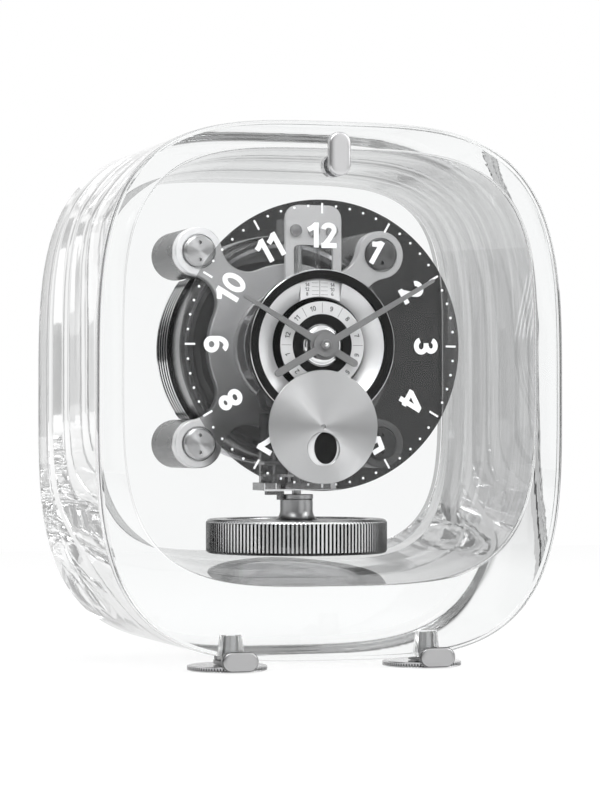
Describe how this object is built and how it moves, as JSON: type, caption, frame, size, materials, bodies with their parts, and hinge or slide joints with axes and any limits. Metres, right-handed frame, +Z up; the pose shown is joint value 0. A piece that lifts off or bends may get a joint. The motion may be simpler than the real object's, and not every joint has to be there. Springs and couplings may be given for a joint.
{
  "type": "mantel clock",
  "caption": "Atmospheric torsion-pendulum clock: movement, smoked dial and gas capsule drum on pillars in a clear crystal block with a glass front door.",
  "frame": {"origin": "on the surface that the clock stands on, under the middle of its bounding box", "axes": "+Z up; the dial faces -Y; +X to the right as seen from the front"},
  "size_m": [0.196, 0.1186, 0.2206],
  "materials": {
    "crystal": "polished clear crystal",
    "pane_glass": "clear float glass",
    "smoked_glass": "smoked, polished",
    "polished_steel": "polished",
    "brushed_rhodium": "brushed",
    "bright_silver": "polished",
    "dark_steel": "dark, satin",
    "plated_brass": "plated, satin",
    "black_lacquer": "matt black",
    "grey_hands": "satin grey"
  },
  "bodies": {
    "case": {"crystal_case": "crystal", "rear_glass": "pane_glass", "foot_stud_left": "polished_steel", "foot_stud_right": "polished_steel", "foot_clip_left": "polished_steel", "foot_clip_right": "polished_steel", "rear_foot": "polished_steel", "pillar_top_left": "brushed_rhodium", "pillar_top_right": "brushed_rhodium", "pillar_bottom_left": "brushed_rhodium", "pillar_bottom_right": "brushed_rhodium", "pillar_screw_top_left": "polished_steel", "pillar_screw_top_right": "polished_steel", "pillar_screw_bottom_left": "polished_steel", "pillar_screw_bottom_right": "polished_steel", "front_bridge": "brushed_rhodium", "capsule_drum": "dark_steel", "gas_capsule": "dark_steel", "main_plate": "brushed_rhodium", "front_plate": "brushed_rhodium", "train_bridge": "plated_brass", "lower_bridge": "dark_steel", "escapement_cock": "brushed_rhodium", "suspension_wire": "polished_steel", "suspension_tube": "brushed_rhodium", "top_plate": "brushed_rhodium", "suspension_block": "dark_steel", "top_screw_1": "polished_steel", "top_screw_2": "polished_steel", "top_screw_3": "polished_steel", "level_tube": "pane_glass", "dished_ring": "bright_silver", "day_scale": "bright_silver", "dial_ring": "black_lacquer", "dial_glass": "smoked_glass", "month_well": "black_lacquer", "moon_plate": "brushed_rhodium"},
    "door": {"front_door": "pane_glass"},
    "latch": {"latch_knob": "polished_steel", "latch_cam": "polished_steel"},
    "level_left": {"level_disc_left": "polished_steel"},
    "level_right": {"level_disc_right": "polished_steel"},
    "capsule_front": {"capsule_lid": "polished_steel"},
    "minute": {"centre_wheel": "plated_brass", "minute_hand": "grey_hands", "hand_nut": "polished_steel"},
    "hour": {"hour_pipe": "polished_steel", "hour_hand": "grey_hands"},
    "minute_work": {"minute_wheel": "plated_brass"},
    "month": {"month_disc": "black_lacquer", "month_hub": "polished_steel"},
    "moon": {"moon_disc": "black_lacquer"},
    "barrel": {"spring_barrel": "plated_brass"},
    "contrate": {"contrate_wheel": "plated_brass"},
    "escape": {"escape_wheel": "plated_brass"},
    "lever": {"pallet_lever": "polished_steel"},
    "balance": {"balance_rim": "brushed_rhodium", "balance_hub": "brushed_rhodium"},
    "lock": {"balance_lock": "dark_steel"}
  },
  "joints": [
    {"name": "door_tip", "type": "hinge", "parent": "case", "child": "door", "pos_m": [0, -0.05495, 0.00385], "axis": [1, 0, 0], "range_deg": [0, 11]},
    {"name": "latch_turn", "type": "hinge", "parent": "door", "child": "latch", "pos_m": [0, -0.05495, 0.2027], "axis": [0, 1, 0], "range_deg": [0, 90]},
    {"name": "level_left_turn", "type": "hinge", "parent": "case", "child": "level_left", "pos_m": [-0.0415, -0.03955, 0], "axis": [0, 0, 1], "continuous": true},
    {"name": "level_right_turn", "type": "hinge", "parent": "case", "child": "level_right", "pos_m": [0.0415, -0.03955, 0], "axis": [0, 0, 1], "continuous": true},
    {"name": "capsule_breathe", "type": "slide", "parent": "case", "child": "capsule_front", "axis": [0, -1, 0], "range_m": [0, 0.002]},
    {"name": "minute_turn", "type": "hinge", "parent": "case", "child": "minute", "pos_m": [0, -0.03385, 0.13095], "axis": [0, 1, 0], "continuous": true},
    {"name": "hour_turn", "type": "hinge", "parent": "case", "child": "hour", "pos_m": [0, -0.03385, 0.13095], "axis": [0, 1, 0], "continuous": true},
    {"name": "minute_work_turn", "type": "hinge", "parent": "case", "child": "minute_work", "pos_m": [-0.0105, -0.02225, 0.14145], "axis": [0, 1, 0], "continuous": true},
    {"name": "month_turn", "type": "hinge", "parent": "case", "child": "month", "pos_m": [0, -0.03385, 0.13095], "axis": [0, 1, 0], "continuous": true},
    {"name": "moon_turn", "type": "hinge", "parent": "case", "child": "moon", "pos_m": [0, -0.03385, 0.08915], "axis": [0, 1, 0], "continuous": true},
    {"name": "barrel_turn", "type": "hinge", "parent": "case", "child": "barrel", "pos_m": [0, -0.02025, 0.14725], "axis": [0, 1, 0], "continuous": true},
    {"name": "contrate_turn", "type": "hinge", "parent": "case", "child": "contrate", "pos_m": [-0.01, -0.01035, 0.11095], "axis": [0, 1, 0], "continuous": true},
    {"name": "escape_turn", "type": "hinge", "parent": "case", "child": "escape", "pos_m": [-0.01, -0.00005, 0.07695], "axis": [0, 0, 1], "continuous": true},
    {"name": "lever_rock", "type": "hinge", "parent": "case", "child": "lever", "pos_m": [-0.0055, -0.00685, 0.07695], "axis": [0, 0, 1], "range_deg": [-6, 6]},
    {"name": "balance_swing", "type": "hinge", "parent": "case", "child": "balance", "pos_m": [0, 0.00085, 0.05945], "axis": [0, 0, 1], "range_deg": [-225, 225]},
    {"name": "lock_turn", "type": "hinge", "parent": "case", "child": "lock", "pos_m": [-0.014, -0.00485, 0.07105], "axis": [0, 0, 1], "range_deg": [-35, 0]}
  ],
  "couplings": [
    {"joint": "hour_turn", "follows": "minute_turn", "ratio": 0.083333},
    {"joint": "minute_work_turn", "follows": "minute_turn", "ratio": -0.33333},
    {"joint": "month_turn", "follows": "minute_turn", "ratio": 0.00011408},
    {"joint": "moon_turn", "follows": "minute_turn", "ratio": 0.001411},
    {"joint": "barrel_turn", "follows": "minute_turn", "ratio": -0.041667},
    {"joint": "contrate_turn", "follows": "minute_turn", "ratio": -2},
    {"joint": "escape_turn", "follows": "minute_turn", "ratio": 4}
  ]
}
